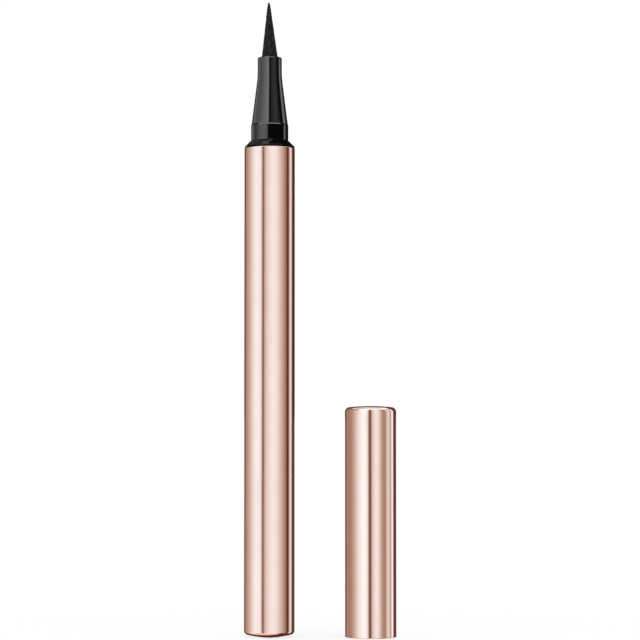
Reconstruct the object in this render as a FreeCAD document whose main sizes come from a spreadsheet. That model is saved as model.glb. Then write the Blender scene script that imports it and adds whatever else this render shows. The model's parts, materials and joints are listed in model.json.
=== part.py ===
"""A liquid eyeliner pen standing on its base, with its cap taken off and standing beside it.

Millimetres, +Z up. The origin is the centre of the pen's base, and the pen's axis is Z.
The cap stands on its mouth at +X. Each piece is drawn about its own axis, with its lowest
point at height zero, and its placement puts it in the pen or in the cap.
"""
import FreeCAD
import Part
import Sketcher
import math
import os

NEAR = 1e-4

SIZES = (
    # Barrel: a drawn tube with a closed, domed base that stands on a small flat
    ("barrel_diameter", 10.0),
    ("barrel_length", 96.6),
    ("shell_wall", 0.4),
    ("base_flat_diameter", 5.0),
    ("base_dome_radius", 15.0),
    ("base_round", 0.8),
    ("rim_chamfer", 0.12),
    # Front section: skirt inside the shell, drafted lip on its rim, shoulder cone and collar
    ("skirt_length", 22.0),
    ("tank_spigot_length", 4.0),
    ("lip_height", 0.35),
    ("lip_inset", 0.05),
    ("lip_draft", 0.03),
    ("shoulder_height", 1.22),
    ("collar_diameter", 7.4),
    ("collar_length", 3.2),
    ("collar_chamfer", 0.2),
    # Nib holder: a bell with a straight nose, and a spigot in the collar
    ("holder_base_diameter", 7.2),
    ("holder_nose_diameter", 4.8),
    ("holder_length", 13.45),
    ("holder_nose_length", 3.9),
    ("holder_waist_radius", 22.0),
    ("holder_nose_round", 0.35),
    ("holder_spigot_diameter", 5.4),
    ("holder_spigot_length", 4.8),
    ("holder_spigot_gap", 0.2),
    # Felt tip: a cone outside, a straight tail inside the holder
    ("tip_diameter", 3.1),
    ("tip_length", 11.0),
    ("tip_tail_length", 7.0),
    ("tip_point_radius", 0.22),
    # Feed core and collector
    ("core_diameter", 1.8),
    ("core_tail_length", 5.0),
    ("collector_diameter", 6.0),
    ("collector_root_diameter", 3.4),
    ("collector_seat_length", 3.0),
    ("fin_count", 16),
    ("fin_pitch", 1.3),
    ("fin_gap", 0.65),
    ("slit_width", 0.4),
    ("slit_floor_diameter", 2.6),
    # Ink tank, its seal and its plug
    ("tank_wall", 0.9),
    ("gasket_thickness", 0.6),
    ("plug_flange_edge", 0.4),
    ("plug_length", 10.0),
    ("plug_bead_count", 4),
    ("plug_bead_pitch", 2.2),
    ("plug_groove_width", 1.5),
    ("plug_groove_depth", 0.35),
    ("plug_dish_diameter", 5.6),
    ("plug_dish_depth", 0.8),
    ("ball_diameter", 3.0),
    # Cap: a drawn cup with a slightly crowned top
    ("cap_offset", 20.0),
    ("cap_diameter", 10.15),
    ("cap_length", 45.45),
    ("cap_wall", 0.4),
    ("cap_top_round", 1.0),
    ("cap_crown", 0.2),
    ("cap_seated_gap", 0.55),
    # Cap liner
    ("mouth_recess", 0.2),
    ("mouth_countersink", 0.75),
    ("socket_length", 5.65),
    ("liner_end_gap", 0.2),
    ("liner_end_chamfer", 0.4),
    # Inner cap, its spring and the spring's seat
    ("inner_cap_diameter", 6.8),
    ("inner_cap_wall", 0.5),
    ("inner_cap_flange_diameter", 8.0),
    ("inner_cap_flange_height", 1.0),
    ("inner_cap_mouth_chamfer", 0.15),
    ("seal_travel", 1.5),
    ("tip_headroom", 2.0),
    ("spring_wire", 0.45),
    ("spring_wire_sides", 8),
    ("spring_mean_diameter", 5.8),
    ("spring_turns", 6),
    ("spring_boss_diameter", 4.8),
    ("spring_boss_height", 1.5),
    ("seat_thickness", 0.8),
    # Clearances on the radius: pressed together, and free to slide
    ("press_fit", 0.02),
    ("slide_fit", 0.05),
)

doc = FreeCAD.newDocument("EyelinerPen")
sheet = doc.addObject("Spreadsheet::Sheet", "Sizes")
for row, (size_name, size_value) in enumerate(SIZES, start=1):
    sheet.set(f"A{row}", size_name)
    sheet.set(f"B{row}", str(size_value))
    sheet.setAlias(f"B{row}", size_name)
doc.recompute()

# Radii and heights that several pieces share, as expressions of the sheet's sizes
BARREL_R = "Sizes.barrel_diameter / 2"
SHELL_BORE_R = f"({BARREL_R} - Sizes.shell_wall)"
LIP_R = f"({BARREL_R} - Sizes.lip_inset)"
LIP_TOP_R = f"({LIP_R} - Sizes.lip_draft)"
SKIRT_R = f"({SHELL_BORE_R} - Sizes.press_fit)"
TANK_R = f"({SHELL_BORE_R} - Sizes.press_fit)"
TANK_BORE_R = f"({TANK_R} - Sizes.tank_wall)"
TANK_SPIGOT_R = f"({TANK_BORE_R} - Sizes.press_fit)"
COLLAR_R = "Sizes.collar_diameter / 2"
HOLDER_BASE_R = "Sizes.holder_base_diameter / 2"
HOLDER_NOSE_R = "Sizes.holder_nose_diameter / 2"
HOLDER_SPIGOT_R = "Sizes.holder_spigot_diameter / 2"
HOLDER_BORE_R = f"({HOLDER_SPIGOT_R} + Sizes.press_fit)"
TIP_R = "Sizes.tip_diameter / 2"
CORE_R = "Sizes.core_diameter / 2"
CORE_BORE_R = f"({CORE_R} + Sizes.press_fit)"
COLLECTOR_R = "Sizes.collector_diameter / 2"
COLLECTOR_BORE_R = f"({COLLECTOR_R} + Sizes.press_fit)"
BALL_R = "Sizes.ball_diameter / 2"

# The base: a dome from the flat outward, and a corner tangent to the dome and to the side.
# The line through the two arcs' centres ends where they meet.
BASE_FLAT_R = "(Sizes.base_flat_diameter / 2)"
BASE_CORNER_R = f"({BARREL_R} - Sizes.base_round)"
BASE_CENTRES = "(Sizes.base_dome_radius - Sizes.base_round)"
BASE_DOME_CENTRE = f"sqrt(Sizes.base_dome_radius ^ 2 - {BASE_FLAT_R} ^ 2)"
BASE_CENTRES_RISE = f"sqrt({BASE_CENTRES} ^ 2 - {BASE_CORNER_R} ^ 2)"
BASE_SIDE = f"({BASE_DOME_CENTRE} - {BASE_CENTRES_RISE})"

COLLAR_TOP = "(Sizes.barrel_length + Sizes.lip_height + Sizes.shoulder_height + Sizes.collar_length)"
HOLDER_FOOT = f"({COLLAR_TOP} - Sizes.holder_spigot_length)"
HOLDER_TOP = f"({COLLAR_TOP} + Sizes.holder_length)"
COLLECTOR_STOP = f"({HOLDER_FOOT} - Sizes.holder_spigot_gap)"
COLLECTOR_LENGTH = "(Sizes.collector_seat_length + Sizes.fin_count * Sizes.fin_pitch)"
COLLECTOR_FOOT = f"({COLLECTOR_STOP} - {COLLECTOR_LENGTH})"
FRONT_FOOT = "(Sizes.barrel_length - Sizes.skirt_length - Sizes.tank_spigot_length)"
TANK_FOOT = f"({BASE_SIDE} + Sizes.plug_flange_edge)"
TANK_TOP = "(Sizes.barrel_length - Sizes.skirt_length - Sizes.gasket_thickness)"
TIP_FOOT = f"({HOLDER_TOP} - Sizes.tip_tail_length)"
CORE_FOOT = f"({COLLECTOR_FOOT} - Sizes.core_tail_length)"
PLUG_TOP = f"({TANK_FOOT} + Sizes.plug_length)"

CAP_R = "Sizes.cap_diameter / 2"
LINER_R = f"({CAP_R} - Sizes.cap_wall - Sizes.press_fit)"
SOCKET_R = f"({COLLAR_R} + Sizes.slide_fit)"
INNER_CAP_R = "Sizes.inner_cap_diameter / 2"
INNER_CAP_BORE_R = f"({INNER_CAP_R} - Sizes.inner_cap_wall)"
INNER_CAP_FLANGE_R = "Sizes.inner_cap_flange_diameter / 2"
GUIDE_R = f"({INNER_CAP_R} + Sizes.slide_fit)"
SPRING_ROOM_R = f"({INNER_CAP_FLANGE_R} + Sizes.slide_fit)"
SPRING_SEAT_R = f"({SPRING_ROOM_R} - Sizes.press_fit)"
SPRING_BOSS_R = "Sizes.spring_boss_diameter / 2"

# Heights inside the cap, measured from its mouth. With the cap on, the mouth stands above the
# front section's lip by the seated gap, and the holder's cone has lifted the inner cap by its travel.
SOCKET_FOOT = "(Sizes.mouth_recess + Sizes.mouth_countersink)"
SOCKET_TOP = f"({SOCKET_FOOT} + Sizes.socket_length)"
SEATED_HOLDER = "(Sizes.shoulder_height + Sizes.collar_length - Sizes.cap_seated_gap)"
HOLDER_CONE_LENGTH = "(Sizes.holder_length - Sizes.holder_nose_length)"
SEATED_SEAL = (f"({SEATED_HOLDER} + ({HOLDER_BASE_R} - {INNER_CAP_BORE_R}) * {HOLDER_CONE_LENGTH}"
               f" / ({HOLDER_BASE_R} - {HOLDER_NOSE_R}))")
SEATED_POINT = f"({SEATED_HOLDER} + Sizes.holder_length + Sizes.tip_length)"
INNER_CAP_FOOT = f"({SEATED_SEAL} - Sizes.seal_travel)"
LEDGE = f"({SEATED_POINT} - Sizes.seal_travel + Sizes.tip_headroom)"
INNER_CAP_TOP = f"({LEDGE} + Sizes.inner_cap_flange_height)"
LINER_TOP = "(Sizes.cap_length - Sizes.cap_crown - Sizes.cap_wall - Sizes.liner_end_gap)"
SEAT_FOOT = f"({LINER_TOP} - Sizes.seat_thickness)"


def number(expression):
    """The present value of an expression of the sheet's sizes, in millimetres."""
    return float(sheet.evalExpression(expression))


def new_body(label):
    """An empty body for one piece."""
    body = doc.addObject("PartDesign::Body", label)
    body.Label = label
    return body


def place(piece, height, offset="0"):
    """Bind a piece's place on its axis: its height, and the axis's distance from the pen's."""
    piece.setExpression("Placement.Base.x", f"({offset}) * 1mm")
    piece.setExpression("Placement.Base.z", f"({height}) * 1mm")


def section_sketch(body, name, corners, arcs=None):
    """A closed sketch in the body's XZ plane, through (radius, height) corners given as expressions.

    A side is straight, unless arcs holds the number of the corner that it starts from: then it is
    an arc whose centre lies at that distance from the axis.
    """
    arcs = arcs or {}
    sketch = body.newObject("Sketcher::SketchObject", name)
    plane = next(item for item in body.Origin.OriginFeatures if item.Role == "XZ_Plane")
    sketch.AttachmentSupport = [(plane, "")]
    sketch.MapMode = "FlatFace"
    points = [FreeCAD.Vector(number(radius), number(height), 0) for radius, height in corners]
    following = points[1:] + points[:1]
    ends = []
    for index, (start, end) in enumerate(zip(points, following)):
        if index in arcs:
            arc, forward = arc_side(start, end, number(arcs[index]))
            sketch.addGeometry(arc)
            ends.append((1, 2) if forward else (2, 1))
        else:
            sketch.addGeometry(Part.LineSegment(start, end))
            ends.append((1, 2))
    count = len(points)
    for index in range(count):
        after = (index + 1) % count
        sketch.addConstraint(Sketcher.Constraint("Coincident", index, ends[index][1], after, ends[after][0]))
    for index, (radius, height) in enumerate(corners):
        bind_point(sketch, "DistanceX", index, ends[index][0], radius, axis=-2)
        bind_point(sketch, "DistanceY", index, ends[index][0], height, axis=-1)
    for index, centre in arcs.items():
        bind_point(sketch, "DistanceX", index, 3, centre, axis=-2)
    return sketch


def arc_side(start, end, centre_radius):
    """The short arc between two corners about a centre at a distance from the axis.

    Sketched arcs run anticlockwise, so the second value tells whether it runs from start to end.
    """
    far_start = start.y ** 2 + (start.x - centre_radius) ** 2
    far_end = end.y ** 2 + (end.x - centre_radius) ** 2
    centre = FreeCAD.Vector(centre_radius, (far_end - far_start) / (2 * (end.y - start.y)), 0)
    circle = Part.Circle(centre, FreeCAD.Vector(0, 0, 1), start.distanceToPoint(centre))
    from_angle = math.atan2(start.y - centre.y, start.x - centre.x)
    to_angle = math.atan2(end.y - centre.y, end.x - centre.x)
    forward = (to_angle - from_angle) % (2 * math.pi) < math.pi
    if forward:
        return Part.ArcOfCircle(circle, from_angle, to_angle), True
    return Part.ArcOfCircle(circle, to_angle, from_angle), False


def bind_point(sketch, kind, side, end, expression, axis):
    """Hold a point of a side at a distance from the sketch's origin, or on one of its axes."""
    if expression == "0":
        sketch.addConstraint(Sketcher.Constraint("PointOnObject", side, end, axis))
        return
    constraint = Sketcher.Constraint(kind, -1, 1, side, end, number(expression))
    placed = sketch.addConstraint(constraint)
    sketch.setExpression(f"Constraints[{placed}]", f"({expression}) * 1mm")


def turned(body, name, corners, kind="Revolution", arcs=None):
    """A section turned once round the axis: added as a Revolution, or cut as a Groove."""
    sketch = section_sketch(body, f"{name}_section", corners, arcs)
    feature = body.newObject(f"PartDesign::{kind}", name)
    feature.Profile = sketch
    feature.ReferenceAxis = (sketch, ["V_Axis"])
    doc.recompute()
    return feature


def ring_edge(feature, radius, height):
    """The name of the circular edge with this radius at this height."""
    for index, edge in enumerate(feature.Shape.Edges, start=1):
        if edge.Degenerated or not isinstance(edge.Curve, Part.Circle):
            continue
        same_radius = abs(edge.Curve.Radius - number(radius)) < NEAR
        if same_radius and abs(edge.Curve.Center.z - number(height)) < NEAR:
            return f"Edge{index}"
    raise ValueError(f"{feature.Label} has no edge of radius {radius} at {height}")


def edge_break(body, kind, feature, radius, height, size):
    """Round (Fillet) or bevel (Chamfer) the circular edge found at a radius and height."""
    dressed = body.newObject(f"PartDesign::{kind}", f"{body.Name}_{kind}")
    dressed.Base = (feature, [ring_edge(feature, radius, height)])
    dressed.setExpression("Radius" if kind == "Fillet" else "Size", f"({size}) * 1mm")
    doc.recompute()
    return dressed


def hollowed(body, feature, height, wall):
    """Leave only a wall, open at the flat face that lies at this height."""
    for index, face in enumerate(feature.Shape.Faces, start=1):
        flat = isinstance(face.Surface, Part.Plane)
        if flat and abs(face.CenterOfMass.z - number(height)) < NEAR:
            open_face = f"Face{index}"
    shell = body.newObject("PartDesign::Thickness", f"{body.Name}_wall")
    shell.Base = (feature, [open_face])
    shell.setExpression("Value", f"({wall}) * 1mm")
    doc.recompute()
    return shell


def repeated(body, feature, count, pitch):
    """Repeat a feature up the axis."""
    pattern = body.newObject("PartDesign::LinearPattern", f"{body.Name}_row")
    pattern.Originals = [feature]
    axis = next(item for item in body.Origin.OriginFeatures if item.Role == "Z_Axis")
    pattern.Direction = (axis, [""])
    pattern.setExpression("Length", f"(({count}) - 1) * ({pitch}) * 1mm")
    pattern.setExpression("Occurrences", count)
    body.Tip = pattern
    doc.recompute()
    return pattern


def check_cut(before, after, name):
    """A cut that misses the solid leaves no error, so the volumes are compared."""
    if not after.Shape.Volume < before.Shape.Volume - NEAR:
        raise ValueError(f"{name} cut nothing")


def ring_section(inner, outer, height):
    """Corners of a plain ring's section."""
    return [(inner, "0"), (outer, "0"), (outer, height), (inner, height)]


def barrel_shell():
    """Drawn aluminium tube with a closed, domed base, its open rim broken by a small chamfer."""
    body = new_body("barrel_shell")
    to_meeting = f"Sizes.base_dome_radius / {BASE_CENTRES}"
    corners = [
        ("0", "0"),
        (BASE_FLAT_R, "0"),
        (f"({BASE_CORNER_R} * {to_meeting})", f"({BASE_DOME_CENTRE} - {BASE_CENTRES_RISE} * {to_meeting})"),
        (BARREL_R, BASE_SIDE),
        (BARREL_R, "Sizes.barrel_length"),
        ("0", "Sizes.barrel_length"),
    ]
    blank = turned(body, "Blank", corners, arcs={1: "0", 2: BASE_CORNER_R})
    shell = hollowed(body, blank, "Sizes.barrel_length", "Sizes.shell_wall")
    edge_break(body, "Chamfer", shell, BARREL_R, "Sizes.barrel_length", "Sizes.rim_chamfer")
    place(body, "0")
    return body


def front_section():
    """Black moulding: a skirt in the shell, a lip on its rim, the shoulder cone and the collar."""
    body = new_body("front_section")
    rim = "(Sizes.tank_spigot_length + Sizes.skirt_length)"
    lip_top = f"({rim} + Sizes.lip_height)"
    collar_top = f"({COLLAR_TOP} - {FRONT_FOOT})"
    stop = f"({COLLECTOR_STOP} - {FRONT_FOOT})"
    corners = [
        (COLLECTOR_BORE_R, "0"),
        (TANK_SPIGOT_R, "0"),
        (TANK_SPIGOT_R, "Sizes.tank_spigot_length"),
        (SKIRT_R, "Sizes.tank_spigot_length"),
        (SKIRT_R, rim),
        (LIP_R, rim),
        (LIP_TOP_R, lip_top),
        (COLLAR_R, f"({lip_top} + Sizes.shoulder_height)"),
        (COLLAR_R, collar_top),
        (HOLDER_BORE_R, collar_top),
        (HOLDER_BORE_R, stop),
        (COLLECTOR_BORE_R, stop),
    ]
    moulding = turned(body, "Moulding", corners)
    edge_break(body, "Chamfer", moulding, COLLAR_R, collar_top, "Sizes.collar_chamfer")
    place(body, FRONT_FOOT)
    return body


def nib_holder():
    """Black bell: a cone that runs through a long waist curve into a straight nose round the nib."""
    body = new_body("nib_holder")
    foot = "Sizes.holder_spigot_length"
    top = f"({foot} + Sizes.holder_length)"
    waist = f"({top} - Sizes.holder_nose_length)"
    tail = f"({top} - Sizes.tip_tail_length)"
    tip_bore = f"({TIP_R} + Sizes.press_fit)"
    # The waist arc is tangent to the cone and to the nose, at an equal reach from their corner
    flare = f"({HOLDER_BASE_R} - {HOLDER_NOSE_R})"
    slant = f"sqrt({HOLDER_CONE_LENGTH} ^ 2 + {flare} ^ 2)"
    reach = f"(Sizes.holder_waist_radius * ({slant} - {HOLDER_CONE_LENGTH}) / {flare})"
    arc_foot_r = f"({HOLDER_NOSE_R} + {reach} * {flare} / {slant})"
    arc_foot = f"({waist} - {reach} * {HOLDER_CONE_LENGTH} / {slant})"
    corners = [
        (CORE_BORE_R, "0"),
        (HOLDER_SPIGOT_R, "0"),
        (HOLDER_SPIGOT_R, foot),
        (HOLDER_BASE_R, foot),
        (arc_foot_r, arc_foot),
        (HOLDER_NOSE_R, f"({waist} + {reach})"),
        (HOLDER_NOSE_R, top),
        (tip_bore, top),
        (tip_bore, tail),
        (CORE_BORE_R, tail),
    ]
    bell = turned(body, "Bell", corners, arcs={4: f"({HOLDER_NOSE_R} + Sizes.holder_waist_radius)"})
    edge_break(body, "Fillet", bell, HOLDER_NOSE_R, top, "Sizes.holder_nose_round")
    place(body, HOLDER_FOOT)
    return body


def felt_tip():
    """Felt nib: a straight tail in the holder and a long cone with a blunted point."""
    body = new_body("felt_tip")
    point = "(Sizes.tip_tail_length + Sizes.tip_length)"
    corners = [
        ("0", "0"),
        (TIP_R, "0"),
        (TIP_R, "Sizes.tip_tail_length"),
        ("Sizes.tip_point_radius", point),
        ("0", point),
    ]
    cone = turned(body, "Cone", corners)
    edge_break(body, "Fillet", cone, "Sizes.tip_point_radius", point, "Sizes.tip_point_radius")
    place(body, TIP_FOOT)
    return body


def feed_core():
    """Fibre rod from the tank up to the nib's tail."""
    rod = doc.addObject("Part::Cylinder", "feed_core")
    rod.Label = "feed_core"
    rod.setExpression("Radius", f"({CORE_R}) * 1mm")
    rod.setExpression("Height", f"({TIP_FOOT} - {CORE_FOOT}) * 1mm")
    place(rod, CORE_FOOT)
    return rod


def collector():
    """Comb of thin fins above a plain seat, with one narrow slit that feeds every gap."""
    body = new_body("collector")
    blank = turned(body, "Blank", ring_section(CORE_BORE_R, COLLECTOR_R, COLLECTOR_LENGTH))
    root = "Sizes.collector_root_diameter / 2"
    gap_foot = "Sizes.collector_seat_length"
    gap_top = "(Sizes.collector_seat_length + Sizes.fin_gap)"
    gap_corners = [(root, gap_foot), (COLLECTOR_R, gap_foot), (COLLECTOR_R, gap_top), (root, gap_top)]
    gap = turned(body, "Gap", gap_corners, kind="Groove")
    check_cut(blank, gap, "the first gap between fins")
    comb = repeated(body, gap, "Sizes.fin_count", "Sizes.fin_pitch")
    check_cut(gap, comb, "the row of gaps")
    floor = "Sizes.slit_floor_diameter / 2"
    outside = f"({COLLECTOR_R} + Sizes.slit_width)"
    slit_sketch = section_sketch(body, "Slit_section", ring_section(floor, outside, COLLECTOR_LENGTH))
    slit = body.newObject("PartDesign::Pocket", "Slit")
    slit.Profile = slit_sketch
    slit.SideType = "Symmetric"
    slit.setExpression("Length", "Sizes.slit_width * 1mm")
    doc.recompute()
    check_cut(comb, slit, "the slit")
    place(body, COLLECTOR_FOOT)
    return body


def ink_tank():
    """Plain tube pressed into the shell, from the plug's flange up to the gasket."""
    body = new_body("ink_tank")
    turned(body, "Tube", ring_section(TANK_BORE_R, TANK_R, f"({TANK_TOP} - {TANK_FOOT})"))
    place(body, TANK_FOOT)
    return body


def tank_gasket():
    """Flat ring round the spigot, between the tank's mouth and the skirt."""
    body = new_body("tank_gasket")
    bore = f"({TANK_SPIGOT_R} + Sizes.press_fit)"
    turned(body, "Ring", ring_section(bore, TANK_R, "Sizes.gasket_thickness"))
    place(body, TANK_TOP)
    return body


def tank_plug():
    """Stopper with a flange under the tank, a row of sealing beads and a dished top for the ball."""
    body = new_body("tank_plug")
    # The flange's foot stands on the flat inside the base and its slope clears the dome
    slope_top = f"({BASE_SIDE} - Sizes.shell_wall)"
    flange = f"({slope_top} + Sizes.plug_flange_edge)"
    top = f"({flange} + Sizes.plug_length)"
    dish = "Sizes.plug_dish_diameter / 2"
    corners = [
        ("0", "0"),
        (f"({BASE_FLAT_R} - Sizes.shell_wall)", "0"),
        (TANK_R, slope_top),
        (TANK_R, flange),
        (TANK_SPIGOT_R, flange),
        (TANK_SPIGOT_R, top),
        (dish, top),
        ("0", f"({top} - Sizes.plug_dish_depth)"),
    ]
    stopper = turned(body, "Stopper", corners)
    # The grooves start one bead's width above the flange
    root = f"({TANK_SPIGOT_R} - Sizes.plug_groove_depth)"
    foot = f"({flange} + Sizes.plug_bead_pitch - Sizes.plug_groove_width)"
    crest = f"({flange} + Sizes.plug_bead_pitch)"
    groove_corners = [(root, foot), (TANK_SPIGOT_R, foot), (TANK_SPIGOT_R, crest), (root, crest)]
    groove = turned(body, "Groove", groove_corners, kind="Groove")
    check_cut(stopper, groove, "the first groove between beads")
    beads = repeated(body, groove, "Sizes.plug_bead_count", "Sizes.plug_bead_pitch")
    check_cut(groove, beads, "the row of grooves")
    place(body, "Sizes.shell_wall")
    return body


def mixing_ball():
    """Steel ball lying in the plug's dish."""
    ball = doc.addObject("Part::Sphere", "mixing_ball")
    ball.Label = "mixing_ball"
    ball.setExpression("Radius", f"({BALL_R}) * 1mm")
    dish_slope = "(Sizes.plug_dish_depth / (Sizes.plug_dish_diameter / 2))"
    above_dish = f"{BALL_R} * sqrt(1 + {dish_slope} ^ 2)"
    place(ball, f"{PLUG_TOP} - Sizes.plug_dish_depth + {above_dish} + Sizes.slide_fit")
    return ball


def cap_shell():
    """Drawn aluminium cup, mouth down, with a rounded edge and a slightly crowned top."""
    body = new_body("cap_shell")
    corner = "Sizes.cap_top_round"
    crown = "Sizes.cap_crown"
    # The corner's arc and the crown's arc are tangent where the line through their centres ends
    corner_centre = f"({CAP_R} - {corner})"
    between = f"(({corner_centre} ^ 2 / {crown} + {crown}) / 2)"
    shoulder = f"(Sizes.cap_length - {crown} - {corner})"
    meeting_r = f"({corner_centre} * (1 + {corner} / {between}))"
    meeting = f"({shoulder} + {corner} * ({between} - {crown}) / {between})"
    corners = [
        ("0", "0"),
        (CAP_R, "0"),
        (CAP_R, shoulder),
        (meeting_r, meeting),
        ("0", "Sizes.cap_length"),
    ]
    blank = turned(body, "Blank", corners, arcs={2: corner_centre, 3: "0"})
    # The hollow's roof is flat, with a bevel that keeps the wall under the rounded edge
    bore = f"({CAP_R} - Sizes.cap_wall)"
    roof = f"(Sizes.cap_length - {crown} - Sizes.cap_wall)"
    bevel = f"max({corner} - Sizes.cap_wall; Sizes.cap_wall / 2)"
    hollow_corners = [
        ("0", "0"),
        (bore, "0"),
        (bore, f"({roof} - {bevel})"),
        (f"({bore} - {bevel})", roof),
        ("0", roof),
    ]
    hollow = turned(body, "Hollow", hollow_corners, kind="Groove")
    check_cut(blank, hollow, "the cap's hollow")
    place(body, "0", "Sizes.cap_offset")
    return body


def cap_liner():
    """Sleeve in the cap shell: a countersunk socket for the collar, a guide, and the spring's room."""
    body = new_body("cap_liner")
    foot = "Sizes.mouth_recess"
    mouth = f"({SOCKET_R} + Sizes.mouth_countersink)"
    corners = [
        (mouth, "0"),
        (LINER_R, "0"),
        (LINER_R, f"({LINER_TOP} - {foot})"),
        (SPRING_ROOM_R, f"({LINER_TOP} - {foot})"),
        (SPRING_ROOM_R, f"({LEDGE} - {foot})"),
        (GUIDE_R, f"({LEDGE} - {foot})"),
        (GUIDE_R, f"({SOCKET_TOP} - {foot})"),
        (SOCKET_R, f"({SOCKET_TOP} - {foot})"),
        (SOCKET_R, "Sizes.mouth_countersink"),
    ]
    sleeve = turned(body, "Sleeve", corners)
    edge_break(body, "Chamfer", sleeve, LINER_R, f"({LINER_TOP} - {foot})", "Sizes.liner_end_chamfer")
    place(body, foot, "Sizes.cap_offset")
    return body


def inner_cap():
    """Cup that closes over the nib: its mouth seals on the holder's cone, its flange on the ledge."""
    body = new_body("inner_cap")
    roof = f"({LEDGE} - {INNER_CAP_FOOT})"
    flange_top = f"({roof} + Sizes.inner_cap_flange_height)"
    boss_top = f"({flange_top} + Sizes.spring_boss_height)"
    corners = [
        (INNER_CAP_BORE_R, "0"),
        (INNER_CAP_R, "0"),
        (INNER_CAP_R, roof),
        (INNER_CAP_FLANGE_R, roof),
        (INNER_CAP_FLANGE_R, flange_top),
        (SPRING_BOSS_R, flange_top),
        (SPRING_BOSS_R, boss_top),
        ("0", boss_top),
        ("0", roof),
        (INNER_CAP_BORE_R, roof),
    ]
    cup = turned(body, "Cup", corners)
    edge_break(body, "Chamfer", cup, INNER_CAP_BORE_R, "0", "Sizes.inner_cap_mouth_chamfer")
    place(body, INNER_CAP_FOOT, "Sizes.cap_offset")
    return body


def spring_seat():
    """Disc pressed into the liner's end, with a boss that centres the spring."""
    body = new_body("spring_seat")
    top = "(Sizes.spring_boss_height + Sizes.seat_thickness)"
    corners = [
        ("0", "0"),
        (SPRING_BOSS_R, "0"),
        (SPRING_BOSS_R, "Sizes.spring_boss_height"),
        (SPRING_SEAT_R, "Sizes.spring_boss_height"),
        (SPRING_SEAT_R, top),
        ("0", top),
    ]
    turned(body, "Disc", corners)
    place(body, f"{SEAT_FOOT} - Sizes.spring_boss_height", "Sizes.cap_offset")
    return body


def arc_from(start, tangent, end):
    """The arc that leaves a point along a tangent and reaches an end point."""
    chord = end - start
    along = FreeCAD.Vector(chord).normalize()
    cosine = tangent.dot(along)
    sideways = (tangent - along * cosine).normalize()
    bulge = chord.Length / 2 * math.tan(math.acos(cosine) / 2)
    return Part.Arc(start, start + chord / 2 + sideways * bulge, end).toShape()


def biarc(start, start_tangent, end, end_tangent):
    """Two tangent arcs that join two points along their own tangents."""
    span = end - start
    tangents = start_tangent + end_tangent
    spread = 2 * (1 - start_tangent.dot(end_tangent))
    across = span.dot(tangents)
    reach = (math.sqrt(across ** 2 + spread * span.dot(span)) - across) / spread
    joint = (start + start_tangent * reach + end - end_tangent * reach) / 2
    first = arc_from(start, start_tangent, joint)
    second = arc_from(end, -end_tangent, joint)
    return [first, second]


def cap_spring():
    """Coil spring between the inner cap's flange and its seat: one wire on a plain helix.

    The wire's section has flat sides, few enough to keep the coil light.
    """
    halves_per_turn = 2
    wire_radius = number("Sizes.spring_wire") / 2
    coil_radius = number("Sizes.spring_mean_diameter") / 2
    end_gap = number("Sizes.press_fit")
    foot = wire_radius + end_gap
    rise = number(f"{SEAT_FOOT} - {INNER_CAP_TOP}") - 2 * foot
    turns = number("Sizes.spring_turns")
    pitch = rise / turns

    def point(turn):
        angle = 2 * math.pi * turn
        across = FreeCAD.Vector(math.cos(angle), math.sin(angle), 0) * coil_radius
        return across + FreeCAD.Vector(0, 0, foot + pitch * turn)

    def tangent(turn):
        angle = 2 * math.pi * turn
        around = 2 * math.pi * coil_radius
        return FreeCAD.Vector(-around * math.sin(angle), around * math.cos(angle), pitch).normalize()

    halves = round(turns * halves_per_turn)
    stations = [turns * index / halves for index in range(halves + 1)]
    edges = []
    for begin, end in zip(stations, stations[1:]):
        edges += biarc(point(begin), tangent(begin), point(end), tangent(end))
    path = Part.Wire(Part.__sortEdges__(edges))
    outward = FreeCAD.Vector(1, 0, 0)
    upward = tangent(0).cross(outward)
    sides = round(number("Sizes.spring_wire_sides"))
    bearings = [2 * math.pi * (side + 0.5) / sides for side in range(sides)]
    rim = [point(0) + (outward * math.cos(a) + upward * math.sin(a)) * wire_radius for a in bearings]
    ring = Part.makePolygon(rim + rim[:1])
    coil = doc.addObject("Part::Feature", "cap_spring")
    coil.Label = "cap_spring"
    coil.Shape = path.makePipeShell([ring], True, False)
    place(coil, INNER_CAP_TOP, "Sizes.cap_offset")

    steps_per_turn = 36
    samples = [point(step / steps_per_turn) for step in range(round(turns * steps_per_turn) + 1)]
    apart = steps_per_turn // 2
    least = min(
        near.distanceToPoint(far)
        for index, near in enumerate(samples)
        for far in samples[index + apart:]
    )
    print(f"least gap between the spring's turns: {least - 2 * wire_radius:.2f} mm")
    return coil


pieces = [
    barrel_shell(),
    front_section(),
    nib_holder(),
    felt_tip(),
    feed_core(),
    collector(),
    ink_tank(),
    tank_gasket(),
    tank_plug(),
    mixing_ball(),
    cap_shell(),
    cap_liner(),
    inner_cap(),
    cap_spring(),
    spring_seat(),
]
doc.recompute()

for item in doc.Objects:
    if "Invalid" in item.State or "Error" in item.State:
        raise RuntimeError(f"{item.Label} failed: {item.State}")
for piece in pieces:
    if piece.Shape.isNull() or not piece.Shape.isValid():
        raise RuntimeError(f"{piece.Label} has no valid shape")
    if len(piece.Shape.Solids) != 1:
        raise RuntimeError(f"{piece.Label} has {len(piece.Shape.Solids)} solids")

os.makedirs("parts", exist_ok=True)
for piece in pieces:
    piece.Shape.exportStep(f"parts/{piece.Label}.step")
    box = piece.Shape.BoundBox
    print(f"{piece.Label}: z {box.ZMin:.2f} to {box.ZMax:.2f}, volume {piece.Shape.Volume:.1f} mm3")
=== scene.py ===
"""Dress and studio for a felt-tip liquid eyeliner pen that stands beside its cap.

Metres, +Z up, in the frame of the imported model. The shells and the black front are turned again as
fine meshes, the nib gets its ground felt and fibres, and every other piece keeps its CAD mesh under
a finish of its own.
"""

import json
import math

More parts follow.
